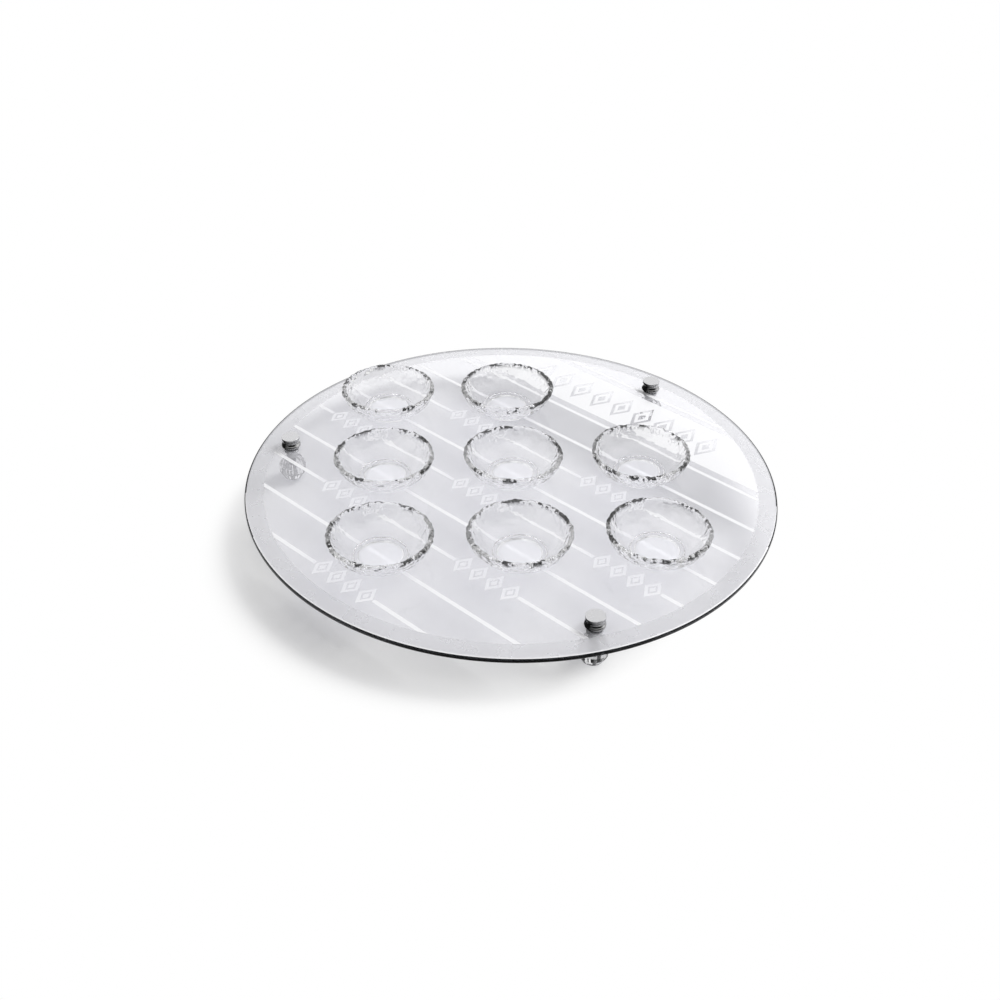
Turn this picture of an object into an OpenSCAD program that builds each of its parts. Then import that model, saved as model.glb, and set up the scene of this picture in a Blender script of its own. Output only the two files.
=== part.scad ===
// Round glass serving plate on three crystal feet, with a set of small glass bowls.
// The origin is on the table, under the middle of the plate. +Z is up, +X runs along
// the printed lines and +Y points to the wide printed band. All sizes are millimetres.

/* [Plate] */
// Diameter of the glass plate
plate_d = 400; // [360:1:460]
// Thickness of the glass plate
plate_t = 4; // [3:0.5:8]
// Width of the polished arris along both edges of the plate
plate_arris = 0.6; // [0.2:0.1:1.2]
// Distance from the plate's edge to the middle of a foot
foot_inset = 24; // [18:0.5:30]
// Diameter of the hole drilled for a foot
foot_hole_d = 7; // [6.2:0.1:8.4]

/* [Print] */
// Bare glass between the print and the plate's edge
print_margin = 14; // [8:0.5:20]
// Thickness of the fired print
print_t = 0.15; // [0.1:0.01:0.3]
// Bare glass left around the fittings of a foot
print_relief = 0.5; // [0.3:0.1:1]
// Distance from the middle of a 400 mm plate to the first white line
line_first = 104.5; // [95:0.5:115]
// Distance between white lines
line_step = 34.3; // [30:0.1:40]
// Width of a white line
line_w = 3.2; // [2:0.1:5]
// Length of the break in a line in front of each bowl
break_w = 58; // [40:1:66]
// Gap between the first line and the wide band
band_gap = 6.4; // [3:0.1:10]
// Height of the wide band
band_h = 48; // [30:1:52]
// Gap between the wide band and the last line beyond it
crown_gap = 6; // [3:0.1:10]

/* [Bowls] */
// Outer diameter of a bowl at its rim
bowl_d = 74.4; // [66:0.2:84]
// Height of a bowl
bowl_h = 22; // [18:0.5:28]
// Wall thickness of a bowl
bowl_wall = 3; // [2:0.1:4]
// Thickness of the rounded lip of a bowl
bowl_lip_d = 3.5; // [3.3:0.1:5]
// Thickness of a bowl's floor
bowl_floor_t = 5; // [3.5:0.1:7]
// Diameter of the flat floor inside a bowl
bowl_floor_d = 30; // [24:0.5:34]
// Angle at which the wall leaves the floor of a bowl
bowl_floor_a = 4; // [2:0.5:12]
// Diameter of the base that a bowl stands on
bowl_base_d = 39; // [36:0.5:46]
// Diameter of the hollow under a bowl
bowl_hollow_d = 32; // [20:0.5:33]
// Depth of the hollow under a bowl
bowl_hollow_h = 0.8; // [0.3:0.1:1.4]
// Distance between columns of bowls
bowl_step = 68; // [62:0.5:70]

/* [Crystal feet] */
// Diameter of a crystal ball across the corners of its facets
crystal_d = 22; // [18:0.5:26]
// Facets in each of the two sets cut round a ball
crystal_facets = 12; // [12:2:16]
// Diameter of the circle round the flat that a ball stands on
crystal_flat_d = 7.2; // [7:0.1:9]
// Diameter of the circle round the flat seat on top of a ball
crystal_seat_d = 10; // [8:0.1:12]
// Depth of the hole glued round the stud in a ball
crystal_hole_h = 8; // [5:0.5:12]

/* [Foot fittings] */
// Diameter of the threaded stud through a foot
stud_d = 4; // [3:0.1:4.6]
// Play around the stud in each hole, for thread or glue
stud_play = 0.1; // [0.05:0.01:0.2]
// Free length left beyond each end of the stud
stud_end_gap = 0.4; // [0.2:0.1:1]
// Diameter of the metal collar's flange under the glass
collar_d = 11.2; // [10.8:0.1:12.4]
// Thickness of the collar's flange
collar_flange_t = 1.6; // [1:0.1:2.4]
// Diameter of the collar's neck on the ball
collar_neck_d = 8.4; // [7.6:0.1:9]
// Height of the metal collar
collar_h = 6.2; // [5:0.1:9]
// Chamfer on both ends of the collar
collar_chamfer = 0.4; // [0.2:0.1:0.8]
// Diameter of the clear gasket and of the flange of the clear bush
gasket_d = 11; // [10:0.1:12]
// Thickness of the clear gasket under the glass
gasket_t = 0.6; // [0.4:0.1:1.2]
// Thickness of the bush's flange on top of the glass
bush_t = 0.4; // [0.3:0.1:0.8]
// Play around the bush's sleeve in the glass
bush_play = 0.15; // [0.05:0.05:0.3]
// Distance that the bush's sleeve ends short of the glass's underside
bush_short = 0.5; // [0.2:0.1:1]
// Height of a metal cap
cap_h = 9; // [7:0.1:14]
// Diameter of the disc on top of a cap
cap_disc_d = 13.8; // [12.6:0.1:17]
// Thickness of the disc on top of a cap
cap_disc_t = 2.2; // [1.4:0.1:3]
// Chamfer along the top of the disc
cap_chamfer = 0.35; // [0.1:0.05:0.8]
// Diameter of the rounded ring at the foot of a cap
cap_ring_d = 14.8; // [13:0.1:18]
// Height of the rounded ring
cap_ring_h = 3.2; // [2.4:0.1:4]
// Depth of the hollow turned between ring and disc
cap_waist = 1; // [0.4:0.1:1.6]
// Depth of the threaded hole in a cap
cap_hole_h = 6.4; // [4:0.1:6.6]

/* [Hidden] */
$fn = 96;
// Plate that the spacing of the lines and bowls is given for
layout_d = 400;
// How far a cut runs past the faces that it opens
cut_over = 1;
plate_r = plate_d / 2;
foot_r = plate_r - foot_inset;
print_r = plate_r - print_margin;
stud_hole_d = stud_d + 2 * stud_play;
sleeve_d = foot_hole_d - 2 * bush_play;

// Levels from the table up through a foot
crystal_r = crystal_d / 2;
crystal_mid_z = sqrt(pow(crystal_r, 2) - pow(crystal_flat_d / 2, 2));
collar_z = crystal_mid_z + sqrt(pow(crystal_r, 2) - pow(crystal_seat_d / 2, 2));
gasket_z = collar_z + collar_h;
plate_z = gasket_z + gasket_t;
top_z = plate_z + plate_t;
cap_z = top_z + bush_t;
bowl_z = top_z + print_t;
stud_z = collar_z - crystal_hole_h + stud_end_gap;
stud_top_z = cap_z + cap_hole_h - stud_end_gap;

// The lines, the band and the bowls spread out with the plate
layout = plate_d / layout_d;
line_top_y = layout * line_first;
line_pitch = layout * line_step;
bowl_pitch = layout * bowl_step;
band_fill_h = layout * band_h;

// The white lines fill the print from the first line down
line_count = floor((line_top_y + print_r - 2 * line_w) / line_pitch) + 1;
band_y = line_top_y + line_w / 2 + band_gap;
crown_y = band_y + band_fill_h + crown_gap + line_w / 2;

// The wall of a bowl follows an arc from the edge of the floor to the middle of the lip
bowl_floor_r = bowl_floor_d / 2;
bowl_lip_x = (bowl_d - bowl_lip_d) / 2;
bowl_lip_z = bowl_h - bowl_lip_d / 2;
bowl_chord = [bowl_lip_x - bowl_floor_r, bowl_lip_z - bowl_floor_t];
bowl_normal = [-sin(bowl_floor_a), cos(bowl_floor_a)];
bowl_arc_r = (bowl_chord * bowl_chord - pow(bowl_wall / 2, 2)) / (2 * bowl_chord * bowl_normal + bowl_wall);
bowl_arc = [bowl_floor_r, bowl_floor_t] + bowl_arc_r * bowl_normal;
bowl_back_r = bowl_arc_r + bowl_wall;
bowl_base_h = bowl_arc[1] - sqrt(pow(bowl_back_r, 2) - pow(bowl_base_d / 2 - bowl_arc[0], 2)) + bowl_wall / 4;

// The waist of a cap is an arc between ring and disc
cap_waist_h = cap_h - cap_ring_h - cap_disc_t;
cap_waist_r = (pow(cap_waist_h / 2, 2) + pow(cap_waist, 2)) / (2 * cap_waist);

// Each bowl stands on every other line: [column, row]
bowl_places = [[-1, 0], [1, 0], [-2, 1], [0, 1], [2, 1], [-1, 2], [1, 2], [0, 3]];
bowl_names = [
    "bowl_top_left", "bowl_top_right", "bowl_left", "bowl_centre",
    "bowl_right", "bowl_low_left", "bowl_low_right", "bowl_bottom"
];
foot_sides = ["back", "left", "right"];
foot_angles = [90, 210, 330];
foot_pieces = ["cap", "bush", "gasket", "stud", "collar", "crystal"];

function line_y(i) = line_top_y - i * line_pitch;
function bowl_xy(place) = [place[0] * bowl_pitch, line_y(2 * place[1] + 1)];

// Puts its children on the axis of every foot
module at_feet() {
    for (a = foot_angles)
        rotate(a) translate([foot_r, 0]) children();
}

module plate_glass() {
    color("LightCyan", 0.35) translate([0, 0, plate_z]) difference() {
        rotate_extrude($fn = 180) polygon([
            [0, 0],
            [plate_r - plate_arris, 0],
            [plate_r, plate_arris],
            [plate_r, plate_t - plate_arris],
            [plate_r - plate_arris, plate_t],
            [0, plate_t]
        ]);
        at_feet() translate([0, 0, -cut_over]) cylinder(d = foot_hole_d, h = plate_t + 2 * cut_over);
    }
}

// Outline of everything printed on the glass
module print_area() {
    difference() {
        circle(r = print_r, $fn = 180);
        at_feet() circle(d = gasket_d + 2 * print_relief);
    }
}

// A white line across the whole print, at height y
module white_line(y) {
    translate([-plate_r, y - line_w / 2]) square([plate_d, line_w]);
}

// The lines, broken in front of each bowl, and the wide band above them
module white_marks() {
    difference() {
        for (i = [0 : line_count - 1]) white_line(line_y(i));
        for (place = bowl_places)
            translate([bowl_xy(place)[0] - break_w / 2, bowl_xy(place)[1] - line_pitch - line_w])
                square([break_w, 2 * line_w]);
    }
    translate([-plate_r, band_y]) square([plate_d, band_fill_h]);
    white_line(crown_y);
}

module frosted_print() {
    color("Lavender", 0.6) translate([0, 0, top_z]) linear_extrude(print_t) difference() {
        print_area();
        white_marks();
    }
}

module white_print() {
    color("White") translate([0, 0, top_z]) linear_extrude(print_t) intersection() {
        print_area();
        white_marks();
    }
}

// Half section of a bowl: base, curved wall, hollow inside and rounded lip
module bowl_section() {
    difference() {
        union() {
            square([bowl_base_d / 2, bowl_base_h]);
            intersection() {
                translate(bowl_arc) circle(r = bowl_back_r, $fn = 180);
                square([bowl_d, bowl_lip_z]);
            }
        }
        square([bowl_hollow_d / 2, bowl_hollow_h]);
        intersection() {
            union() {
                translate(bowl_arc) circle(r = bowl_arc_r, $fn = 180);
                square([bowl_arc[0], bowl_d]);
            }
            translate([0, bowl_floor_t]) square(bowl_d);
        }
    }
    translate([bowl_lip_x, bowl_lip_z]) circle(d = bowl_lip_d);
}

module bowl(place) {
    color("AliceBlue", 0.4)
        translate([bowl_xy(place)[0], bowl_xy(place)[1], bowl_z])
            rotate_extrude($fn = 128) bowl_section();
}

// Ball with two sets of flat facets, one turned by half a facet
module cut_ball() {
    intersection() {
        sphere(r = crystal_r, $fn = crystal_facets);
        rotate(180 / crystal_facets) sphere(r = crystal_r, $fn = crystal_facets);
    }
}

module foot_crystal() {
    color("Azure", 0.5) difference() {
        intersection() {
            translate([0, 0, crystal_mid_z]) cut_ball();
            cylinder(d = 2 * crystal_d, h = collar_z);
        }
        translate([0, 0, collar_z - crystal_hole_h]) cylinder(d = stud_hole_d, h = crystal_hole_h + cut_over);
    }
}

// Half section of a collar: a neck that sweeps out to a flange
module collar_section() {
    sweep_r = (collar_d - collar_neck_d) / 2;
    sweep_z = collar_h - collar_flange_t - sweep_r;
    difference() {
        polygon([
            [stud_hole_d / 2, 0],
            [collar_neck_d / 2 - collar_chamfer, 0],
            [collar_neck_d / 2, collar_chamfer],
            [collar_neck_d / 2, sweep_z],
            [collar_d / 2, sweep_z],
            [collar_d / 2, collar_h - collar_chamfer],
            [collar_d / 2 - collar_chamfer, collar_h],
            [stud_hole_d / 2, collar_h]
        ]);
        translate([collar_d / 2, sweep_z]) circle(r = sweep_r);
    }
}

module foot_collar() {
    color("Silver") translate([0, 0, collar_z]) rotate_extrude() collar_section();
}

module foot_gasket() {
    color("WhiteSmoke", 0.6) translate([0, 0, gasket_z]) difference() {
        cylinder(d = gasket_d, h = gasket_t);
        translate([0, 0, -cut_over]) cylinder(d = stud_hole_d, h = gasket_t + 2 * cut_over);
    }
}

// Flanged bush that keeps the stud and the cap off the glass
module foot_bush() {
    color("WhiteSmoke", 0.6) difference() {
        union() {
            translate([0, 0, top_z]) cylinder(d = gasket_d, h = bush_t);
            translate([0, 0, plate_z + bush_short]) cylinder(d = sleeve_d, h = plate_t - bush_short);
        }
        translate([0, 0, plate_z]) cylinder(d = stud_hole_d, h = plate_t + bush_t + cut_over);
    }
}

module foot_stud() {
    color("DimGray") translate([0, 0, stud_z]) cylinder(d = stud_d, h = stud_top_z - stud_z);
}

// Half section of a cap: a rounded ring, a hollow waist and a flat disc
module cap_section() {
    disc_r = cap_disc_d / 2;
    ring_mid_r = (cap_ring_d - cap_ring_h) / 2;
    square([ring_mid_r, cap_ring_h]);
    translate([ring_mid_r, cap_ring_h / 2]) circle(d = cap_ring_h);
    difference() {
        polygon([
            [0, cap_ring_h / 2],
            [disc_r - cap_waist, cap_ring_h / 2],
            [disc_r - cap_waist, cap_ring_h],
            [disc_r, cap_ring_h],
            [disc_r, cap_h - cap_chamfer],
            [disc_r - cap_chamfer, cap_h],
            [0, cap_h]
        ]);
        translate([disc_r - cap_waist + cap_waist_r, cap_ring_h + cap_waist_h / 2])
            circle(r = cap_waist_r);
    }
}

module foot_cap() {
    color("Silver") translate([0, 0, cap_z]) difference() {
        rotate_extrude() cap_section();
        translate([0, 0, -cut_over]) cylinder(d = stud_hole_d, h = cap_hole_h + cut_over);
    }
}

// One named piece of a foot
module foot_piece(piece) {
    if (piece == "cap") foot_cap();
    if (piece == "bush") foot_bush();
    if (piece == "gasket") foot_gasket();
    if (piece == "stud") foot_stud();
    if (piece == "collar") foot_collar();
    if (piece == "crystal") foot_crystal();
}

plate_glass();
frosted_print();
white_print();
for (i = [0 : len(bowl_names) - 1])
    bowl(bowl_places[i]);
for (i = [0 : len(foot_sides) - 1], piece = foot_pieces)
    rotate(foot_angles[i]) translate([foot_r, 0]) foot_piece(piece);
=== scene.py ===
import math

import bpy
from mathutils import Matrix, Vector


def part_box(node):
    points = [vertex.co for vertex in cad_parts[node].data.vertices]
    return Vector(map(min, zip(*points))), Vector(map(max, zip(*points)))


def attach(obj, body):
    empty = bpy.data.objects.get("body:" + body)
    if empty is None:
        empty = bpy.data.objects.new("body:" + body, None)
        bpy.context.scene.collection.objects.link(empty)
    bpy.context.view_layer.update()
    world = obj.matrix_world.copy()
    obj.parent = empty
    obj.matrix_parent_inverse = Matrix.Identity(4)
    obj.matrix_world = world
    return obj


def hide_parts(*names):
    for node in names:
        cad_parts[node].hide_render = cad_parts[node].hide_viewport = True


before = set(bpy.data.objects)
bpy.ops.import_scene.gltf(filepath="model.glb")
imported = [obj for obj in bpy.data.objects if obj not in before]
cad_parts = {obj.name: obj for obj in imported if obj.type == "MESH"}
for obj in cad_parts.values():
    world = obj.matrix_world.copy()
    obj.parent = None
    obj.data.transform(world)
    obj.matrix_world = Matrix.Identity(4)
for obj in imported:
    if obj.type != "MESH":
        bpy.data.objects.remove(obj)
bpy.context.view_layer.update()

mm = 0.001
glassLow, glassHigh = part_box("plate_glass")
glassBottom, glassTop = glassLow[2], glassHigh[2]
footTurns = {"back": 90, "left": 210, "right": 330}
footRing = 176 * mm  # the feet stand on this radius
footPlaces = {
    side: (footRing * math.cos(math.radians(turn)), footRing * math.sin(math.radians(turn)))
    for side, turn in footTurns.items()
}
frontX, frontY = 0.66, -0.75  # level direction from the plate's middle to the photograph's camera
flatNormal = 0.99  # a face with a normal this upright counts as flat
print("solids loaded, glass from %.2f to %.2f mm" % (glassBottom / mm, glassTop / mm))


# small helpers for modelling by operators

def clearSelection():
    if bpy.context.mode != "OBJECT":
        bpy.ops.object.mode_set(mode="OBJECT")
    bpy.ops.object.select_all(action="DESELECT")


def pickPiece(piece):
    clearSelection()
    piece.select_set(True)
    bpy.context.view_layer.objects.active = piece


def pickNothing(piece):
    bpy.ops.object.mode_set(mode="OBJECT")
    for part in (piece.data.vertices, piece.data.edges, piece.data.polygons):
        part.foreach_set("select", [False] * len(part))


def pickFaces(piece, test):
    pickNothing(piece)
    for face in piece.data.polygons:
        face.select = test(face)
    bpy.context.tool_settings.mesh_select_mode = (False, False, True)
    bpy.ops.object.mode_set(mode="EDIT")


def pickEdges(piece, test):
    pickNothing(piece)
    points = piece.data.vertices
    for edge in piece.data.edges:
        edge.select = test(points[edge.vertices[0]].co, points[edge.vertices[1]].co)
    bpy.context.tool_settings.mesh_select_mode = (False, True, False)
    bpy.ops.object.mode_set(mode="EDIT")


def finishPiece(piece, angle):
    pickPiece(piece)
    bpy.ops.object.transform_apply(location=True, rotation=True, scale=True)
    bpy.ops.object.shade_smooth_by_angle(angle=math.radians(angle))


def useModifier(piece, kind, **settings):
    modifier = piece.modifiers.new(kind.lower(), kind)
    for name, value in settings.items():
        setattr(modifier, name, value)
    pickPiece(piece)
    bpy.ops.object.modifier_apply(modifier=modifier.name)


def cutWith(piece, cutter, operation, keep=False):
    useModifier(piece, "BOOLEAN", object=cutter, operation=operation, solver="EXACT")
    if not keep:
        bpy.data.objects.remove(cutter)


def joinPieces(name, pieces):
    pickPiece(pieces[0])
    for piece in pieces:
        piece.select_set(True)
    bpy.ops.object.join()
    bpy.ops.object.transform_apply(location=True, rotation=True, scale=True)
    joined = bpy.context.object
    joined.name = name
    return joined


def copyPiece(piece, name, shift):
    pickPiece(piece)
    bpy.ops.object.duplicate(linked=False)
    twin = bpy.context.object
    twin.name = name
    bpy.ops.object.mode_set(mode="EDIT")
    bpy.ops.mesh.select_all(action="SELECT")
    bpy.ops.transform.translate(value=shift)
    bpy.ops.object.mode_set(mode="OBJECT")
    return twin


def keepValues(piece, name, domain, values):
    # values that a material reads, one for each point or face
    piece.data.attributes.new(name, "FLOAT", domain).data.foreach_set("value", values)


def turnOnLathe(name, outline, steps):
    # a plane merged to one point, drawn along the outline (radius, height in mm) and spun
    clearSelection()
    bpy.ops.mesh.primitive_plane_add(size=mm, location=(0, 0, 0), enter_editmode=True)
    piece = bpy.context.object
    piece.name = name
    bpy.context.tool_settings.mesh_select_mode = (True, False, False)
    bpy.ops.mesh.merge(type="CENTER")
    bpy.ops.transform.translate(value=(outline[0][0] * mm, 0, outline[0][1] * mm))
    for (r0, z0), (r1, z1) in zip(outline, outline[1:]):
        step = ((r1 - r0) * mm, 0, (z1 - z0) * mm)
        bpy.ops.mesh.extrude_vertices_move(TRANSFORM_OT_translate={"value": step})
    bpy.ops.mesh.select_all(action="SELECT")
    bpy.ops.mesh.spin(steps=steps, angle=2 * math.pi, center=(0, 0, 0), axis=(0, 0, 1))
    bpy.ops.mesh.select_all(action="SELECT")
    bpy.ops.mesh.remove_doubles(threshold=0.002 * mm)
    bpy.ops.mesh.normals_make_consistent(inside=False)
    bpy.ops.object.mode_set(mode="OBJECT")
    return piece


def arcPoints(centre, radius, start, end, count):
    # angles in degrees from straight down, turning outwards
    return [
        (centre[0] + radius * math.sin(math.radians(start + (end - start) * i / count)),
         centre[1] - radius * math.cos(math.radians(start + (end - start) * i / count)))
        for i in range(count + 1)
    ]


def partWay(value, start, length):
    return min(max((value - start) / length, 0), 1)


def facing(x, y):
    # 1 on the side towards the photograph's camera, -1 on the far side, 0 on the axis
    away = math.hypot(x, y)
    return (x * frontX + y * frontY) / away if away > mm else 0


# materials

def linear(text):
    values = []
    for i in (0, 2, 4):
        c = int(text[i:i + 2], 16) / 255
        values.append(c / 12.92 if c <= 0.04045 else ((c + 0.055) / 1.055) ** 2.4)
    return (*values, 1.0)


def addNode(tree, kind, settings, links=None):
    node = tree.nodes.new(kind)
    for name, value in settings.items():
        if isinstance(name, int) or name in node.inputs:
            node.inputs[name].default_value = value
        else:
            setattr(node, name, value)
    for name, source in (links or {}).items():
        tree.links.new(source, node.inputs[name])
    return node


def newMaterial(name):
    material = bpy.data.materials.new(name)
    material.use_nodes = True
    material.node_tree.nodes.clear()
    return material, material.node_tree


def facetPaintedReflection(tree, glass, facets):
    # painted reflection: each facet gets a dark or light tone of its own, standing in for the dark room or
    # white table it would throw back
    facet = addNode(tree, "ShaderNodeAttribute", {"attribute_name": "facetPaintedReflection"})
    tone = addNode(tree, "ShaderNodeMapRange",
                   {"From Min": facets["from"], "From Max": facets["to"],
                    "To Min": facets["dark"], "To Max": linear(glass)[0]},
                   {"Value": facet.outputs["Fac"]})
    return tone.outputs["Result"]


def fleckPaintedReflection(tree, place, glass, flecks):
    # painted reflections: black flecks in clusters on the lip, standing in for the dark room mirrored by a
    # rippled lip
    spots = addNode(tree, "ShaderNodeTexNoise", {"Scale": 1 / (flecks["size"] * mm), "Detail": 1.0},
                    {"Vector": place})
    crowd = addNode(tree, "ShaderNodeTexNoise", {"Scale": 1 / (flecks["crowd"] * mm), "Detail": 0.0},
                    {"Vector": place})
    amount = addNode(tree, "ShaderNodeMath", {"operation": "ADD"},
                     {0: spots.outputs["Fac"], 1: crowd.outputs["Fac"]})
    fleck = addNode(tree, "ShaderNodeMapRange", {"From Min": flecks["from"], "From Max": flecks["to"]},
                    {"Value": amount.outputs[0]})
    lip = addNode(tree, "ShaderNodeAttribute", {"attribute_name": "paintedFleckShare"})
    share = addNode(tree, "ShaderNodeMath", {"operation": "MULTIPLY"},
                    {0: fleck.outputs[0], 1: lip.outputs["Fac"]})
    tone = addNode(tree, "ShaderNodeMapRange", {"To Min": linear(glass)[0], "To Max": flecks["dark"]},
                   {"Value": share.outputs[0]})
    return tone.outputs["Result"]


def lampSheet(tree, place, tint, rim):
    # lamps and the light off the table pass straight through, with a tint
    sheet = addNode(tree, "ShaderNodeBsdfTransparent", {"Color": linear(tint)})
    if rim:  # near the polished edge lamp light is bent away, so the shadow is darker there
        flat = addNode(tree, "ShaderNodeVectorMath", {"operation": "MULTIPLY", 1: (1, 1, 0)}, {0: place})
        reach = addNode(tree, "ShaderNodeVectorMath", {"operation": "LENGTH"}, {0: flat.outputs[0]})
        shade = addNode(tree, "ShaderNodeMapRange",
                        {"From Min": rim["from"] * mm, "From Max": rim["to"] * mm,
                         "To Min": linear(tint)[0], "To Max": linear(rim["tint"])[0]},
                        {"Value": reach.outputs["Value"]})
        tree.links.new(shade.outputs["Result"], sheet.inputs["Color"])
    return sheet


def clearGlass(name, glass, roughness, ior, shadowTint, clear=1.0, shine="FFFFFF",
               ripple=None, rim=None, facets=None, flecks=None):
    # glass for the eye, with marks left by wiping about 14 mm wide
    material, tree = newMaterial(name)
    place = addNode(tree, "ShaderNodeTexCoord", {}).outputs["Object"]
    smear = addNode(tree, "ShaderNodeTexNoise", {"Scale": 1 / (14 * mm), "Detail": 3.0}, {"Vector": place})
    wiped = addNode(tree, "ShaderNodeMapRange",
                    {"From Min": 0.35, "From Max": 0.75, "To Min": roughness[0], "To Max": roughness[1]},
                    {"Value": smear.outputs["Fac"]})
    shader = addNode(tree, "ShaderNodeBsdfPrincipled",
                     {"Base Color": linear(glass), "IOR": ior, "Transmission Weight": clear,
                      "Specular Tint": linear(shine)},
                     {"Roughness": wiped.outputs["Result"]})
    if ripple:
        waves = addNode(tree, "ShaderNodeTexNoise", {"Scale": 1 / (ripple["size"] * mm), "Detail": 2.0},
                        {"Vector": place})
        bump = addNode(tree, "ShaderNodeBump",
                       {"Strength": ripple["strength"], "Distance": ripple["depth"] * mm},
                       {"Height": waves.outputs["Fac"]})
        tree.links.new(bump.outputs["Normal"], shader.inputs["Normal"])
    if facets:
        tree.links.new(facetPaintedReflection(tree, glass, facets), shader.inputs["Base Color"])
    if flecks:
        tree.links.new(fleckPaintedReflection(tree, place, glass, flecks), shader.inputs["Base Color"])
    lampSide = lampSheet(tree, place, shadowTint, rim)
    path = addNode(tree, "ShaderNodeLightPath", {})
    tableSide = addNode(tree, "ShaderNodeMixShader", {}, {0: path.outputs["Is Diffuse Ray"],
                        1: shader.outputs[0], 2: lampSide.outputs[0]})
    mixed = addNode(tree, "ShaderNodeMixShader", {}, {0: path.outputs["Is Shadow Ray"],
                    1: tableSide.outputs[0], 2: lampSide.outputs[0]})
    addNode(tree, "ShaderNodeOutputMaterial", {}, {"Surface": mixed.outputs[0]})
    return material


# float glass, cut round and polished: flat and clear, a trace of grey, faint wiping marks
plateGlass = clearGlass("floatGlassPolished", "EFEFF1", (0.0, 0.012), 1.52, "F8F8FA",
                        rim={"from": 184, "to": 190, "tint": "B8B8BC"})
# its edge, polished on the wheel: painted shade, drawn as near-black glass with a dark shine, for an edge
# that looks nearly black seen along the glass
plateEdgePaintedDark = clearGlass("floatGlassEdgePaintedDark", "18191B", (0.0, 0.03), 1.45, "A0A0A4", shine="101012")
# the upper turn of the edge, polished: a painted highlight, nearly opaque white, drawn as the thin white
# line where it would catch the ceiling
plateArrisPaintedHighlight = clearGlass("floatGlassArrisPaintedHighlight", "F4F4F6", (0.1, 0.2), 1.52, "B8B8BC", clear=0.15)
# its margin, etched satin: an even milky tone that blurs what lies below
plateMargin = clearGlass("floatGlassSatinEtched", "D9D9DD", (0.26, 0.34), 1.52, "B8B8BC", clear=0.5)
# pressed soda glass, fire polished by hand: clear and bright with a soft ripple, and black flecks on the lip
# painted in as reflections of the dark room
bowlGlass = clearGlass("sodaGlassFirePolished", "FDFDFE", (0.0, 0.012), 1.51, "F5F5F7",
                       ripple={"size": 3.5, "strength": 0.2, "depth": 0.2},
                       flecks={"size": 2.6, "crowd": 12, "from": 1.08, "to": 1.13, "dark": 0.01})
# lead crystal, cut and polished: flat facets, with black and white patches painted into the base colour as
# reflections
crystalGlass = clearGlass("leadCrystalCut", "F6F6F8", (0.0, 0.006), 1.6, "C4C4C8",
                          facets={"from": 0.2, "to": 0.35, "dark": 0.02})
# clear soft plastic, moulded: slightly milky
clearPlastic = clearGlass("clearPlasticMoulded", "EDEFF0", (0.12, 0.3), 1.46, "D5D6D8")


def groundBase():
    # the flat under a bowl, ground on a wheel: a pale, soft bright disc
    material, tree = newMaterial("sodaGlassGroundFlat")
    place = addNode(tree, "ShaderNodeTexCoord", {}).outputs["Object"]
    grit = addNode(tree, "ShaderNodeTexNoise", {"Scale": 1 / (0.9 * mm), "Detail": 4.0},  # grit drawn coarse
                   {"Vector": place})
    rough = addNode(tree, "ShaderNodeMapRange", {"To Min": 0.1, "To Max": 0.2},
                    {"Value": grit.outputs["Fac"]})
    shader = addNode(tree, "ShaderNodeBsdfPrincipled",
                     {"Base Color": linear("F1F1F3"), "IOR": 1.51, "Transmission Weight": 0.68},
                     {"Roughness": rough.outputs["Result"]})
    lampSide = lampSheet(tree, place, "ECEDEF", None)
    path = addNode(tree, "ShaderNodeLightPath", {})
    mixed = addNode(tree, "ShaderNodeMixShader", {}, {0: path.outputs["Is Shadow Ray"],
                    1: shader.outputs[0], 2: lampSide.outputs[0]})
    addNode(tree, "ShaderNodeOutputMaterial", {}, {"Surface": mixed.outputs[0]})
    return material


groundFlat = groundBase()


def firedEnamel(name, colour, cover, grain, roughness, ior):
    # screen printed enamel, fired on: a thin glossy film; the screen's fine grain is drawn coarse to show
    material, tree = newMaterial(name)
    place = addNode(tree, "ShaderNodeTexCoord", {}).outputs["Object"]
    mesh = addNode(tree, "ShaderNodeTexNoise", {"Scale": 1 / (grain * mm), "Detail": 2.0}, {"Vector": place})
    film = addNode(tree, "ShaderNodeMapRange",
                   {"From Min": 0.3, "From Max": 0.7, "To Min": cover[0], "To Max": cover[1]},
                   {"Value": mesh.outputs["Fac"]})
    shader = addNode(tree, "ShaderNodeBsdfPrincipled",
                     {"Base Color": linear(colour), "IOR": ior, "Roughness": roughness},
                     {"Alpha": film.outputs["Result"]})
    addNode(tree, "ShaderNodeOutputMaterial", {}, {"Surface": shader.outputs[0]})
    return material


# frosted enamel: a pale veil over what lies below, with a clear shine
frostedEnamel = firedEnamel("frostedEnamelFired", "F3F3F9", (0.12, 0.16), 0.8, 0.05, 1.7)
# white enamel: a plain white that hides nearly all that lies below
whiteEnamel = firedEnamel("whiteEnamelFired", "F3F3F5", (0.66, 0.76), 0.8, 0.1, 1.6)


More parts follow.
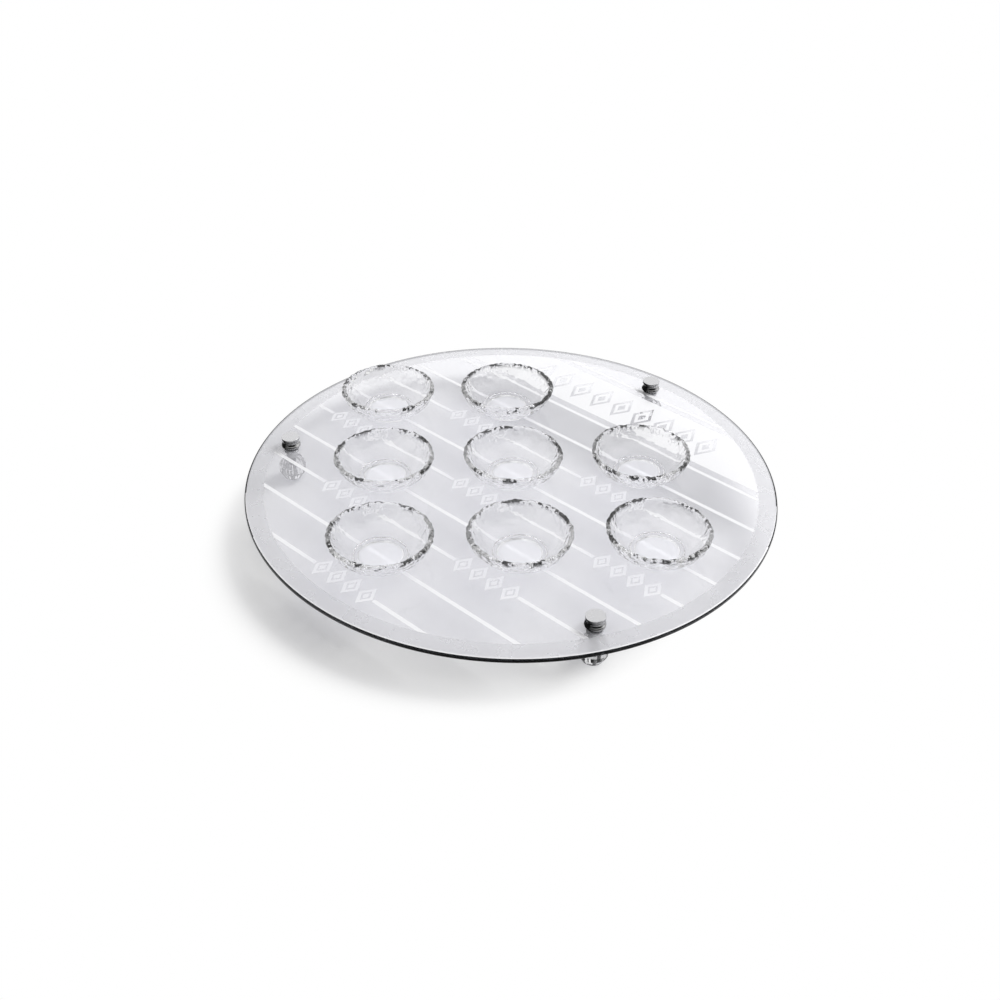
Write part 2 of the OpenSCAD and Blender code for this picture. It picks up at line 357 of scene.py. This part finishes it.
def turnedMetal(name, colour, roughness, pitch, depth, paintedDarkSide=None):
    # turned on a lathe: fine rings round the axis, soft streaked shine, handled patches about 2.5 mm wide
    material, tree = newMaterial(name)
    axis = addNode(tree, "ShaderNodeAttribute", {"attribute_name": "axisDistance"})
    rings = addNode(tree, "ShaderNodeMath", {"operation": "MULTIPLY", 1: 2 * math.pi / (pitch * mm)},
                    {0: axis.outputs["Fac"]})
    wave = addNode(tree, "ShaderNodeMath", {"operation": "SINE"}, {0: rings.outputs[0]})
    place = addNode(tree, "ShaderNodeTexCoord", {}).outputs["Object"]
    wear = addNode(tree, "ShaderNodeTexNoise", {"Scale": 1 / (2.5 * mm), "Detail": 4.0}, {"Vector": place})
    rough = addNode(tree, "ShaderNodeMapRange",
                    {"From Min": 0.3, "From Max": 0.7, "To Min": roughness[0], "To Max": roughness[1]},
                    {"Value": wear.outputs["Fac"]})
    bump = addNode(tree, "ShaderNodeBump", {"Strength": 0.4, "Distance": depth * mm},
                   {"Height": wave.outputs[0]})
    shader = addNode(tree, "ShaderNodeBsdfPrincipled", {"Base Color": linear(colour), "Metallic": 1.0},
                     {"Roughness": rough.outputs["Result"], "Normal": bump.outputs["Normal"]})
    if paintedDarkSide:  # painted reflection: the base colour darkens on one side, for the dark half of the room that buffed metal mirrors
        side = addNode(tree, "ShaderNodeAttribute", {"attribute_name": "paintedRoomSide"})
        tone = addNode(tree, "ShaderNodeMapRange",
                       {"From Min": 0.3, "From Max": 1.0,
                        "To Min": linear(paintedDarkSide)[0], "To Max": linear(colour)[0]},
                       {"Value": side.outputs["Fac"]})
        tree.links.new(tone.outputs["Result"], shader.inputs["Base Color"])
    addNode(tree, "ShaderNodeOutputMaterial", {}, {"Surface": shader.outputs[0]})
    return material


# nickel plated brass, faced on the lathe: pale satin tops, painted lighter than the buffed sides of the same
# metal as if lit from above
# its rings are about 0.05 mm apart and drawn at 0.35 mm so that they show
satinNickelPaintedLight = turnedMetal("nickelPlatedBrassFacedPaintedLight", "EAEAEC", (0.2, 0.3), 0.35, 0.004)
# the turned sides are buffed bright and mirror the dark room; painted shade: their base colour is darker
# than the tops'
buffedNickelPaintedDark = turnedMetal("nickelPlatedBrassBuffedPaintedShade", "BCBCC0", (0.08, 0.18), 0.35, 0.001, "141416")
# blackened steel, with a rolled thread: dark with a dull shine
studSteel = turnedMetal("blackenedSteelRolled", "38383C", (0.3, 0.42), 0.5, 0.004)
print("materials made")


# glass plate
plate = {
    "radius": 200, "edge": 1.4, "edgeSteps": 5, "margin": 186, "steps": 320, "hole": 7, "holeSteps": 64,
    "smooth": 20,  # edges up to this angle look smooth
    "paintedHighlightNear": (0.4, 0.8), "paintedHighlightFar": (0.15, 0.95),  # how far to the front, how upright a face with the painted highlight is
}


def drillHoles(piece, diameter, depth):
    for x, y in footPlaces.values():
        clearSelection()
        bpy.ops.mesh.primitive_cylinder_add(vertices=plate["holeSteps"], radius=diameter / 2 * mm,
                                            depth=depth, location=(x, y, glassTop))
        cutWith(piece, bpy.context.object, "DIFFERENCE")


def edgePaintedDarkOrHighlight(face):
    # painted highlight at the front on the upper turn of the edge, where it would mirror the ceiling; the
    # rest of the edge is painted dark
    front = facing(face.center.x, face.center.y)
    for start, upright in (plate["paintedHighlightNear"], plate["paintedHighlightFar"]):
        if front > start:
            return plateArrisPaintedHighlight if face.normal.z > upright else plateEdgePaintedDark
    return plateEdgePaintedDark


def makePlate():
    clearSelection()
    height = glassTop - glassBottom
    bpy.ops.mesh.primitive_cylinder_add(vertices=plate["steps"], radius=plate["radius"] * mm, depth=height,
                                        location=(0, 0, glassBottom + height / 2))
    piece = bpy.context.object
    piece.name = "glassPlate"
    bpy.ops.object.transform_apply(location=True, rotation=True, scale=True)
    pickEdges(piece, lambda a, b: abs(a.z - b.z) < 1e-6)
    bpy.ops.mesh.bevel(offset=plate["edge"] * mm, segments=plate["edgeSteps"], profile=0.5)  # rounded edge
    pickFaces(piece, lambda face: face.normal.z > flatNormal and face.area > 0.01)  # the top
    bpy.ops.mesh.inset(thickness=(plate["radius"] - plate["edge"] - plate["margin"]) * mm, depth=0)
    bpy.ops.object.mode_set(mode="OBJECT")
    drillHoles(piece, plate["hole"], 3 * height)  # well through the glass
    finishPiece(piece, plate["smooth"])
    plateSurfaces = [plateGlass, plateEdgePaintedDark, plateMargin, plateArrisPaintedHighlight]
    for material in plateSurfaces:
        piece.data.materials.append(material)
    for face in piece.data.polygons:
        reach = math.hypot(face.center.x, face.center.y) / mm
        if reach > plate["radius"] - plate["edge"] and abs(face.normal.z) < flatNormal:
            face.material_index = plateSurfaces.index(edgePaintedDarkOrHighlight(face))
        elif plate["margin"] < reach < plate["radius"] and face.normal.z > flatNormal:
            face.material_index = plateSurfaces.index(plateMargin)
    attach(piece, "plate")
    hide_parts("plate_glass")


makePlate()
print("plate made")


# print on the glass: frosted ground, white lines, wide band and rows of lozenges
printed = {
    "radius": 186, "steps": 320, "lift": 0.02, "film": 0.12, "relief": 12, "reliefDepth": 1, "cutter": 2,
    "lineFirst": 104.5, "lineStep": 34.3, "lineWidth": 3.2, "lineCount": 9,
    "break": 58, "bandLow": 112.5, "bandHigh": 160.5, "crown": 168.1, "smooth": 20,
}
bowlColumns = 68  # mm from one column of bowls to the next
bowlPlaces = {  # column and row; a row of bowls takes up two lines
    "bowl_top_left": (-1, 0), "bowl_top_right": (1, 0), "bowl_left": (-2, 1), "bowl_centre": (0, 1),
    "bowl_right": (2, 1), "bowl_low_left": (-1, 2), "bowl_low_right": (1, 2), "bowl_bottom": (0, 3),
}
# lozenges in a line's break and in the wide band
breakRow = {"count": 4, "step": 14.6, "width": 13, "height": 20, "stroke": 2.3, "heart": 4.6}
bandRow = {"count": 9, "step": 21, "width": 17, "height": 33, "stroke": 2.3, "heart": 6}


def addBar(x0, x1, y0, y1):
    clearSelection()
    bpy.ops.mesh.primitive_cube_add(size=1, location=((x0 + x1) / 2 * mm, (y0 + y1) / 2 * mm, glassTop),
                                    scale=((x1 - x0) * mm, (y1 - y0) * mm, printed["cutter"] * mm))
    return bpy.context.object


def addLozenge(x, y, row):
    # an open lozenge with a small one in its heart
    high = printed["cutter"] * mm
    clearSelection()
    bpy.ops.mesh.primitive_circle_add(vertices=4, radius=0.5, fill_type="NGON",
                                      location=(x * mm, y * mm, glassTop - high / 2))
    piece = bpy.context.object
    piece.scale = (row["width"] * mm, row["height"] * mm, 1)
    bpy.ops.object.transform_apply(location=True, rotation=True, scale=True)
    bpy.ops.object.mode_set(mode="EDIT")
    bpy.ops.mesh.select_all(action="SELECT")
    bpy.ops.mesh.inset(thickness=row["stroke"] * mm, depth=0)
    bpy.ops.mesh.delete(type="ONLY_FACE")
    bpy.ops.mesh.select_all(action="SELECT")
    bpy.ops.mesh.extrude_region_move(TRANSFORM_OT_translate={"value": (0, 0, high)})
    bpy.ops.mesh.select_all(action="SELECT")
    bpy.ops.mesh.normals_make_consistent(inside=False)
    bpy.ops.object.mode_set(mode="OBJECT")
    clearSelection()
    bpy.ops.mesh.primitive_cylinder_add(vertices=4, radius=0.5, depth=high,
                                        location=(x * mm, y * mm, glassTop))
    heart = bpy.context.object
    heart.scale = (row["heart"] * mm, row["heart"] * row["height"] / row["width"] * mm, 1)
    return joinPieces("lozenge", [piece, heart])


def addRow(x, y, row):
    middle = (row["count"] - 1) / 2
    return [addLozenge(x + (i - middle) * row["step"], y, row) for i in range(row["count"])]


def makeMarks():
    # everything that is white, as one cutter
    reach, half = plate["radius"], printed["lineWidth"] / 2
    bars = []
    for i in range(printed["lineCount"]):
        y = printed["lineFirst"] - i * printed["lineStep"]
        middles = sorted(c * bowlColumns for c, r in bowlPlaces.values() if 2 * r + 2 == i)
        ends = [-reach] + [m + s * printed["break"] / 2 for m in middles for s in (-1, 1)] + [reach]
        bars += [addBar(x0, x1, y - half, y + half) for x0, x1 in zip(ends[::2], ends[1::2])]
    bars.append(addBar(-reach, reach, printed["bandLow"], printed["bandHigh"]))
    bars.append(addBar(-reach, reach, printed["crown"] - half, printed["crown"] + half))
    marks = joinPieces("marks", bars)
    for opening in addRow(0, (printed["bandLow"] + printed["bandHigh"]) / 2, bandRow):
        cutWith(marks, opening, "DIFFERENCE")
    lozenges = []
    for column, row in bowlPlaces.values():
        y = printed["lineFirst"] - (2 * row + 2) * printed["lineStep"]
        lozenges += addRow(column * bowlColumns, y, breakRow)
    return joinPieces("marks", [marks] + lozenges)


def makeFilm(name):
    clearSelection()
    z = glassTop + (printed["lift"] + printed["film"] / 2) * mm
    bpy.ops.mesh.primitive_cylinder_add(vertices=printed["steps"], radius=printed["radius"] * mm,
                                        depth=printed["film"] * mm, location=(0, 0, z))
    film = bpy.context.object
    film.name = name
    bpy.ops.object.transform_apply(location=True, rotation=True, scale=True)
    drillHoles(film, printed["relief"], printed["reliefDepth"] * mm)
    return film


def makePrint():
    marks = makeMarks()
    ground = makeFilm("frostedGround")
    white = makeFilm("whiteMarks")
    cutWith(ground, marks, "DIFFERENCE", keep=True)
    cutWith(white, marks, "INTERSECT")
    for piece, material, node, slot in ((ground, frostedEnamel, "frosted_print", "frosted_enamel"),
                                        (white, whiteEnamel, "white_print", "white_enamel")):
        finishPiece(piece, printed["smooth"])
        piece.data.materials.clear()
        piece.data.materials.append(material)
        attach(piece, "plate")
        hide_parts(node)


makePrint()
print("print made")


# bowls
bowl = {
    "arc": (13.52, 26.15), "inner": 21.2, "innerTurn": (68, 5), "outer": 24.2, "outerTurn": (17, 70),
    "wallSteps": 24, "lip": (35.45, 20.25), "lipRadius": 1.75, "lipTurn": (85, 245), "lipSteps": 14,
    "base": 19.5, "baseTurn": 0.8, "baseHeight": 2.2, "hollow": 16, "hollowDepth": 0.8,
    "steps": 280, "smooth": 40,
    "floor": 15, "floorHeight": 5, "hold": 4,  # a ring this far inside a corner holds the flat
    "groundRadius": 15.8, "groundTop": 1,  # the ground part of the hollow
    "sway": (26, 1.4), "ripple": (4.0, 1.5), "dents": (3.2, 0.8),  # size of the waves, how far they reach
    "swayRise": (5.5, 8), "rimRise": (17.5, 2.5),  # height where the waves start, height to their full reach
    "rippleInside": 0.12, "rippleOutside": 0.75,  # share of the ripple below the rim
    "paintedFleckLow": 20.2, "paintedFleckRun": 3.2,  # painted flecks lie above this height, and run down the outside at the front
}


def bowlOutline():
    base, turn = bowl["base"], bowl["baseTurn"]
    hollow, depth = bowl["hollow"], bowl["hollowDepth"]
    floor, height = bowl["floor"], bowl["floorHeight"]
    outline = [(0, depth), (hollow - bowl["hold"], depth)]
    # soft corners of the hollow and of the base
    outline += [(hollow - 0.5, depth - 0.1), (hollow, depth - 0.4), (hollow + 0.3, 0.05), (hollow + 0.7, 0)]
    outline += [(base - turn, 0), (base - turn / 4, turn / 4), (base, turn), (base, bowl["baseHeight"])]
    outline += arcPoints(bowl["arc"], bowl["outer"], *bowl["outerTurn"], bowl["wallSteps"])
    outline += arcPoints(bowl["lip"], bowl["lipRadius"], *bowl["lipTurn"], bowl["lipSteps"])
    outline += arcPoints(bowl["arc"], bowl["inner"], *bowl["innerTurn"], bowl["wallSteps"])
    outline += [(floor - 0.6, height), (floor - bowl["hold"], height), (floor / 2, height), (0, height)]
    return outline


def markBowl(piece, x, y, z):
    # where handwork sways and ripples the wall, and where the painted dark flecks may lie
    arc, wallMiddle = bowl["arc"], (bowl["inner"] + bowl["outer"]) / 2
    swayGroup = piece.vertex_groups.new(name="sway")
    rippleGroup = piece.vertex_groups.new(name="ripple")
    paintedFleckShare = []
    for point in piece.data.vertices:
        height = (point.co.z - z) / mm
        radius = math.hypot(point.co.x - x, point.co.y - y) / mm
        inside = math.hypot(radius - arc[0], height - arc[1]) < wallMiddle
        rise = partWay(height, *bowl["swayRise"])
        rim = partWay(height, *bowl["rimRise"])
        least = bowl["rippleInside"] if inside else bowl["rippleOutside"]
        swayGroup.add([point.index], rise, "REPLACE")
        rippleGroup.add([point.index], rise * max(rim, least), "REPLACE")
        run = 0 if inside else bowl["paintedFleckRun"] * max(facing(point.co.x - x, point.co.y - y), 0)
        paintedFleckShare.append(partWay(height, bowl["paintedFleckLow"] - run, 1))
    keepValues(piece, "paintedFleckShare", "POINT", paintedFleckShare)


def makeBowls():
    master = turnOnLathe("bowlMaster", bowlOutline(), bowl["steps"])
    waves = {}
    for name, kind in (("sway", "CLOUDS"), ("ripple", "CLOUDS"), ("dents", "VORONOI")):
        waves[name] = bpy.data.textures.new(name, kind)
        waves[name].noise_scale = bowl[name][0] * mm
    for node, (column, row) in bowlPlaces.items():
        x = column * bowlColumns * mm
        y = (printed["lineFirst"] - (2 * row + 1) * printed["lineStep"]) * mm
        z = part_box(node)[0][2]
        kind, *place = node.split("_")
        piece = copyPiece(master, kind + "".join(part.title() for part in place), (x, y, z))
        markBowl(piece, x, y, z)
        for name, group in (("sway", "sway"), ("ripple", "ripple"), ("dents", "ripple")):
            useModifier(piece, "DISPLACE", texture=waves[name], strength=bowl[name][1] * mm,
                        vertex_group=group, texture_coords="LOCAL", direction="NORMAL")
        piece.vertex_groups.clear()
        finishPiece(piece, bowl["smooth"])
        piece.data.materials.append(bowlGlass)
        piece.data.materials.append(groundFlat)
        for face in piece.data.polygons:
            reach = math.hypot(face.center.x - x, face.center.y - y) / mm
            if (face.center.z - z) / mm < bowl["groundTop"] and reach < bowl["groundRadius"]:
                face.material_index = 1
        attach(piece, node)
        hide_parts(node)
    bpy.data.objects.remove(master)


makeBowls()
print("bowls made")


# feet: cap, bush, gasket, stud, collar and crystal ball on one axis
foot = {
    "steps": 96, "studHole": 2.1, "paintedRoomTurn": 0.5,  # radians to the lighter side of the painted reflection
    "inset": 0.02,  # keeps faces that touch in the real foot from lying in one plane
    "cap": {"height": 9, "disc": 6.9, "discHeight": 2.2, "chamfer": 0.35, "corner": 0.12, "topDepth": 0.5,
            "ring": 5.8, "ringHeight": 3.2, "ringTurn": (0, 160), "ringSteps": 12, "waist": 1,
            "waistPart": 0.82, "hole": 6.4, "holeChamfer": 0.3,
            "hold": (0.4, 1.5)},  # rings this far inside the lower and upper edge hold the flats
    "collar": {"radius": 5.6, "flange": 1.6, "neck": 4.2, "height": 6.2, "chamfer": 0.4},
    "stud": {"radius": 2, "core": 1.68, "pitch": 0.7, "land": 0.1},
    "ball": {"radius": 11, "flat": 3.6, "seat": 5, "facets": 12,
             "reflectionPaintTurn": 7.3, "reflectionPaintRise": 2.1},  # how fast the facets' painted reflection changes round the ball and up it
    "flange": {"radius": 5.5, "sleeve": 3.35, "height": 0.38, "turn": 0.1},
    "gasket": {"radius": 5.5, "turn": 0.12},
}


def capOutline():
    cap, hole = foot["cap"], foot["studHole"]
    disc, ring, top = cap["disc"], cap["ring"], cap["height"]
    half = cap["ringHeight"] / 2
    waistLow, waistHigh = cap["ringHeight"], top - cap["discHeight"]
    mid, span = (waistLow + waistHigh) / 2, waistHigh - waistLow
    bend = ((span / 2) ** 2 + cap["waist"] ** 2) / (2 * cap["waist"])
    outline = [(0, cap["hole"]), (hole, cap["hole"]), (hole, cap["holeChamfer"]),
               (hole + cap["holeChamfer"], 0), (ring - cap["hold"][0], 0)]
    outline += arcPoints((ring, half), half, *cap["ringTurn"], cap["ringSteps"])
    swing = math.asin(span / 2 / bend) * cap["waistPart"]
    centre = disc - cap["waist"] + bend
    outline += [(centre - bend * math.cos(swing * share), mid + bend * math.sin(swing * share))
                for share in (-1, -0.66, -0.33, 0, 0.33, 0.66, 1)]
    outline += [(disc - cap["corner"], waistHigh), (disc, waistHigh + cap["corner"]),
                (disc, top - cap["chamfer"]), (disc - cap["chamfer"], top),
                (disc - cap["hold"][1], top), (disc / 2, top), (0, top)]
    return outline


def studOutline(low, high):
    stud = foot["stud"]
    core, pitch, land = stud["core"], stud["pitch"], stud["land"]
    outline = [(0, low), (core, low)]
    z = low + land
    while z + pitch < high - land:  # thread drawn as rings: its slope is too small to show
        outline += [(core, z + land), (stud["radius"], z + pitch / 2), (core, z + pitch - land / 2)]
        z += pitch
    return outline + [(core, high), (0, high)]


def collarOutline():
    collar, hole = foot["collar"], foot["studHole"]
    r, h, c, neck = collar["radius"], collar["height"], collar["chamfer"], collar["neck"]
    sweep = r - neck  # the neck sweeps out to the flange
    low = h - collar["flange"] - sweep
    curve = [(r - sweep * math.cos(math.radians(a)), low + sweep * math.sin(math.radians(a)))
             for a in range(0, 91, 10)]
    return ([(hole, 0), (neck - c, 0), (neck, c)] + curve
            + [(r, h - c), (r - c, h), (hole, h), (hole, 0)])


def ballOutline():
    # corners of the rows of facets, from the flat underneath to the seat on top
    ball = foot["ball"]
    radius, rows = ball["radius"], ball["facets"] // 2
    low = -math.sqrt(radius ** 2 - ball["flat"] ** 2)
    high = math.sqrt(radius ** 2 - ball["seat"] ** 2)
    turns = [math.radians((i + 0.5) * 180 / rows) for i in range(rows)]
    corners = [(radius * math.sin(a), -radius * math.cos(a)) for a in turns]
    for end, inner, cut in ((0, 1, low), (rows - 1, rows - 2, high)):
        share = (cut - corners[inner][1]) / (corners[end][1] - corners[inner][1])
        corners[end] = (corners[inner][0] + share * (corners[end][0] - corners[inner][0]), cut)
    # the stud is bonded in, with no air round it
    return [(0, 0)] + [(r, z - low) for r, z in corners] + [(0, high - low)]


def gasketOutline(height):
    inner, outer, turn = foot["studHole"], foot["gasket"]["radius"], foot["gasket"]["turn"]
    return [(inner, 0), (outer - turn, 0), (outer, turn), (outer, height - turn),
            (outer - turn, height), (inner, height), (inner, 0)]


def bushOutline(height):
    flange, inner = foot["flange"], foot["studHole"]
    sleeve, outer, turn = flange["sleeve"], flange["radius"], flange["turn"]
    low = height - flange["height"]
    return [(inner, 0), (sleeve, 0), (sleeve, low), (outer - turn, low), (outer, low + turn),
            (outer, height - turn), (outer - turn, height), (inner, height), (inner, 0)]


def footMaster(kind, outline, material, angle):
    ball, cap = foot["ball"], foot["cap"]
    piece = turnOnLathe(kind + "Master", outline, ball["facets"] if kind == "crystal" else foot["steps"])
    if kind == "crystal":  # a second set of facets, turned by half a facet
        twin = copyPiece(piece, "turned", (0, 0, 0))
        twin.rotation_euler = (0, 0, math.pi / ball["facets"])
        cutWith(piece, twin, "INTERSECT")
    distances = [math.hypot(p.co.x, p.co.y) + p.co.z for p in piece.data.vertices]
    keepValues(piece, "axisDistance", "POINT", distances)
    finishPiece(piece, angle)
    piece.data.materials.append(material)
    # painted reflection: how far each point turns towards the bright half of the room
    if kind in ("cap", "collar"):
        turns = [math.atan2(p.co.y, p.co.x) - foot["paintedRoomTurn"] for p in piece.data.vertices]
        keepValues(piece, "paintedRoomSide", "POINT", [0.5 + 0.5 * math.cos(turn) for turn in turns])
    # painted reflection: a tone for each facet, read by the crystal's base colour
    if kind == "crystal":
        turns = [ball["reflectionPaintTurn"] * math.atan2(f.center.y, f.center.x) + ball["reflectionPaintRise"] * f.center.z / mm
                 for f in piece.data.polygons]
        keepValues(piece, "facetPaintedReflection", "FACE", [0.5 + 0.5 * math.sin(turn) for turn in turns])
    if kind == "cap":  # satin top painted light, buffed sides painted dark
        piece.data.materials.append(buffedNickelPaintedDark)
        for face in piece.data.polygons:
            face.material_index = 0 if face.center.z > (cap["height"] - cap["topDepth"]) * mm else 1
    return piece


def makeFeet():
    kinds = ("cap", "bush", "gasket", "stud", "collar", "crystal")
    lows = {kind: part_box("foot_%s_back" % kind)[0][2] for kind in kinds}
    tall = {kind: (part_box("foot_%s_back" % kind)[1][2] - lows[kind]) / mm for kind in kinds}
    inset = foot["inset"]
    shapes = {  # outline, material, slot, and the angle up to which edges look smooth
        "cap": (capOutline(), satinNickelPaintedLight, "cap_metal", 30),
        "bush": (bushOutline(tall["bush"] - inset), clearPlastic, "clear_plastic", 40),
        "gasket": (gasketOutline(tall["gasket"] - 2 * inset), clearPlastic, "clear_plastic", 40),
        "stud": (studOutline(0, tall["stud"]), studSteel, "stud_steel", 20),
        "collar": (collarOutline(), buffedNickelPaintedDark, "cap_metal", 30),
        "crystal": (ballOutline(), crystalGlass, "crystal", 2),
    }
    for kind, (outline, material, slot, angle) in shapes.items():
        master = footMaster(kind, outline, material, angle)
        lift = lows[kind] + (inset * mm if kind in ("gasket", "bush") else 0)
        for side, (x, y) in footPlaces.items():
            piece = copyPiece(master, kind + side.title(), (x, y, lift))
            node = "foot_%s_%s" % (kind, side)
            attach(piece, "plate")
            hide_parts(node)
        bpy.data.objects.remove(master)


makeFeet()
print("feet made")


# camera: the photograph's view, from the plate's middle outwards
view = {"distance": 950.35, "elevation": 36.222, "azimuth": 41.65, "roll": 1.149,
        "right": -8.194, "up": -17.738, "lens": 45, "sensor": 36}


def makeCamera():
    turn, rise, roll = (math.radians(view[name]) for name in ("azimuth", "elevation", "roll"))
    forward = Vector((-math.sin(turn) * math.cos(rise), math.cos(turn) * math.cos(rise), -math.sin(rise)))
    right = Vector((math.cos(turn), math.sin(turn), 0))
    up = right.cross(forward)
    place = Vector((0, 0, glassTop)) - forward * view["distance"] * mm
    place = place + right * view["right"] * mm + up * view["up"] * mm
    sideways = right * math.cos(roll) + up * math.sin(roll)
    upright = up * math.cos(roll) - right * math.sin(roll)
    turned = Matrix((sideways, upright, -forward)).transposed().to_4x4()
    bpy.ops.object.camera_add()
    camera = bpy.context.object
    camera.data.lens = view["lens"]
    camera.data.sensor_width = view["sensor"]
    camera.data.clip_start = 0.01
    camera.matrix_world = Matrix.Translation(place) @ turned
    bpy.context.scene.camera = camera
    return forward, right


forward, right = makeCamera()
far = Vector((forward.x, forward.y, 0)).normalized()  # level, away from the camera


# studio: white table, dark room on the camera's side, one large soft lamp behind and to the right
studio = {
    "table": 12, "paperGrain": 1.11, "paperTone": (0.84, 0.86),
    "backdrop": (143, 191),  # mm from its middle to where the paper starts to pale and where it is white
    "backdropShift": 55, "backdropAim": (-0.64, -0.77),  # mm, and the shares away from the camera and right
    "lampSize": 2.1, "lampAway": 3.6, "lampRise": 49, "lampTurn": 58, "lampPower": 133, "ambient": 0.42,
    # what the room shows: where a tone starts and ends, and its level before and after
    "wall": (-0.7, -0.3, 0.01, 0.78), "wallShift": 0.35, "skirting": (0.06, 0.17, 0.0, 1.0),
    "fade": (0.42, 0.64, 1.15, 0.95),  # brightest low down, where the back of the plate mirrors the wall
    "softBox": (0.82, 0.97, 0.0, 1.4), "ceiling": (0.66, 0.86, 0.0, 1.0),
}


def makeTable():
    clearSelection()
    bpy.ops.mesh.primitive_plane_add(size=studio["table"], location=(0, 0, 0))
    table = bpy.context.object
    table.name = "table"
    material, tree = newMaterial("tableWhitePaper")  # matt paper: even and without shine
    place = addNode(tree, "ShaderNodeTexCoord", {}).outputs["Object"]
    grain = addNode(tree, "ShaderNodeTexNoise", {"Scale": 1 / (studio["paperGrain"] * mm), "Detail": 2.0},
                    {"Vector": place})
    tone = addNode(tree, "ShaderNodeMapRange",
                   {"To Min": studio["paperTone"][0], "To Max": studio["paperTone"][1]},
                   {"Value": grain.outputs["Fac"]})
    paper = addNode(tree, "ShaderNodeBsdfDiffuse", {}, {"Color": tone.outputs["Result"]})
    path = addNode(tree, "ShaderNodeLightPath", {})
    # the paper runs into a white backdrop round the shadow, which falls to the front left
    aim = studio["backdropAim"]
    middle = (far * aim[0] + right * aim[1]) * studio["backdropShift"] * mm
    away = addNode(tree, "ShaderNodeVectorMath", {"operation": "DISTANCE", 1: middle}, {0: place})
    paleness = addNode(tree, "ShaderNodeMapRange", {"interpolation_type": "SMOOTHSTEP",
                       "From Min": studio["backdrop"][0] * mm, "From Max": studio["backdrop"][1] * mm},
                       {"Value": away.outputs["Value"]})
    # through the glass the shaded paper shows, or the white band would be lost against it
    share = addNode(tree, "ShaderNodeMath", {"operation": "MULTIPLY"},
                    {0: path.outputs["Is Camera Ray"], 1: paleness.outputs[0]})
    white = addNode(tree, "ShaderNodeEmission", {"Color": (1, 1, 1, 1), "Strength": 1.0})
    both = addNode(tree, "ShaderNodeMixShader", {},
                   {0: share.outputs[0], 1: paper.outputs[0], 2: white.outputs[0]})
    addNode(tree, "ShaderNodeOutputMaterial", {}, {"Surface": both.outputs[0]})
    table.data.materials.append(material)


def lampAim():
    turn, rise = math.radians(studio["lampTurn"]), math.radians(studio["lampRise"])
    level = far * math.cos(turn) + right * math.sin(turn)
    return level * math.cos(rise) + Vector((0, 0, math.sin(rise)))


def makeRoom():
    # what glass and metal see: a bright wall behind, a soft box, and a dark room on the camera's side
    world = bpy.data.worlds.new("studio")
    bpy.context.scene.world = world
    world.use_nodes = True
    tree = world.node_tree
    tree.nodes.clear()
    coords = addNode(tree, "ShaderNodeTexCoord", {}).outputs["Generated"]
    wallAim = (far - right * studio["wallShift"]).normalized()
    ahead = addNode(tree, "ShaderNodeVectorMath", {"operation": "DOT_PRODUCT", 1: wallAim}, {0: coords})
    towards = addNode(tree, "ShaderNodeVectorMath", {"operation": "DOT_PRODUCT", 1: lampAim()}, {0: coords})
    height = addNode(tree, "ShaderNodeSeparateXYZ", {}, {0: coords}).outputs["Z"]
    sources = {"wall": ahead.outputs["Value"], "skirting": height, "fade": height,
               "softBox": towards.outputs["Value"], "ceiling": height}
    tones = {}
    for name, source in sources.items():
        start, end, before, after = studio[name]
        ramp = addNode(tree, "ShaderNodeMapRange",
                       {"interpolation_type": "SMOOTHSTEP", "From Min": start, "From Max": end,
                        "To Min": before, "To Max": after}, {"Value": source})
        tones[name] = ramp.outputs[0]
    low = addNode(tree, "ShaderNodeMath", {"operation": "MULTIPLY"},
                  {0: tones["skirting"], 1: tones["fade"]})
    backdrop = addNode(tree, "ShaderNodeMath", {"operation": "MULTIPLY"},
                       {0: tones["wall"], 1: low.outputs[0]})
    lit = addNode(tree, "ShaderNodeMath", {"operation": "MAXIMUM"},
                  {0: tones["softBox"], 1: tones["ceiling"]})
    mirrored = addNode(tree, "ShaderNodeMath", {"operation": "MAXIMUM"},
                       {0: backdrop.outputs[0], 1: lit.outputs[0]})
    path = addNode(tree, "ShaderNodeLightPath", {})
    plain = addNode(tree, "ShaderNodeMix", {"data_type": "FLOAT", 3: studio["ambient"]},
                    {0: path.outputs["Is Diffuse Ray"], 2: mirrored.outputs[0]})
    level = addNode(tree, "ShaderNodeMath", {"operation": "MAXIMUM"},
                    {0: plain.outputs[0], 1: path.outputs["Is Camera Ray"]})
    sky = addNode(tree, "ShaderNodeBackground", {"Color": (1, 1, 1, 1)}, {"Strength": level.outputs[0]})
    addNode(tree, "ShaderNodeOutputWorld", {}, {"Surface": sky.outputs[0]})


def makeLamp():
    aim = lampAim()
    bpy.ops.object.light_add(type="AREA", location=aim * studio["lampAway"])
    lamp = bpy.context.object
    lamp.rotation_euler = aim.to_track_quat("Z", "Y").to_euler()
    lamp.data.shape = "DISK"
    lamp.data.size = studio["lampSize"]
    lamp.data.energy = studio["lampPower"]
    lamp.visible_glossy = False  # glass and metal see the soft box in the room instead
    lamp.visible_transmission = False


makeTable()
makeRoom()
makeLamp()
scene = bpy.context.scene
scene.view_settings.view_transform = "Standard"
scene.cycles.max_bounces = 24  # light crosses many walls of glass
scene.cycles.transmission_bounces = 20
scene.cycles.transparent_max_bounces = 32
scene.cycles.glossy_bounces = 18
print("studio made")
